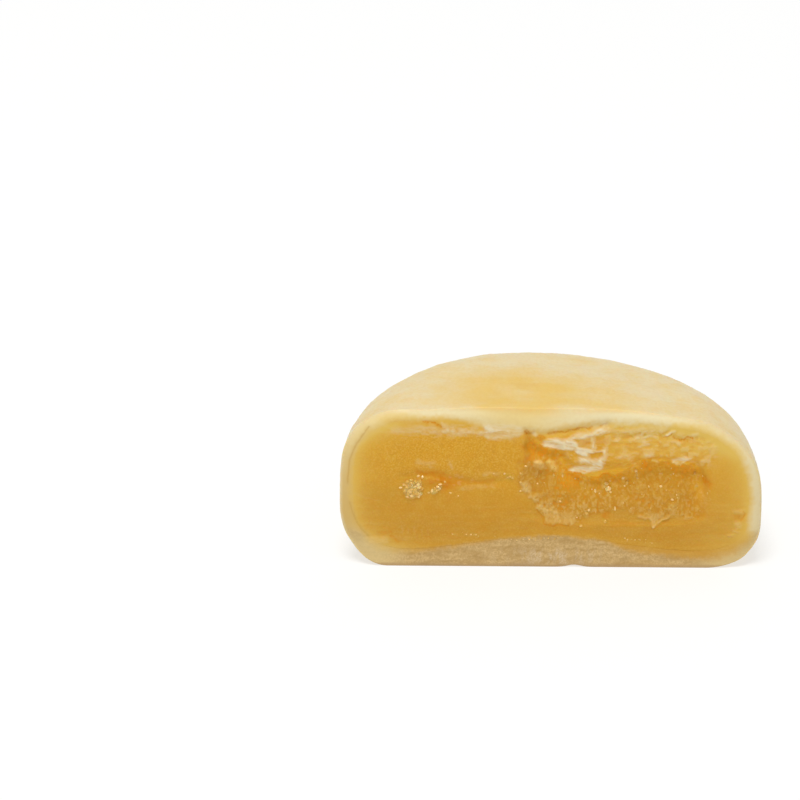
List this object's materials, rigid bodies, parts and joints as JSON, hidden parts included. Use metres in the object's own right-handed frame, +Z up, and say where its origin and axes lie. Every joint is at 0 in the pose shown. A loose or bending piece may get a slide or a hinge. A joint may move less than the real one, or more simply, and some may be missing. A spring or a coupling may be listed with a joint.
{
  "type": "durian pastry half",
  "caption": "Half of a small round baked pastry, cut to show a golden durian paste filling inside a pale dough skin; stands on its flat base",
  "frame": {"origin": "middle of the box round the half pastry, on the flat base that it stands on", "axes": "+X to the right along the cut, -Y out of the cut face, +Z up"},
  "size_m": [0.0603, 0.0318, 0.0252],
  "materials": {
    "baked_dough": "pale baked dough, satin, lightly browned on its pressed top",
    "durian_paste": "moist golden fruit paste, smooth where the knife pressed it and torn where it pulled"
  },
  "bodies": {
    "root": {"dough_skin": "baked_dough", "durian_filling": "durian_paste"}
  },
  "joints": []
}
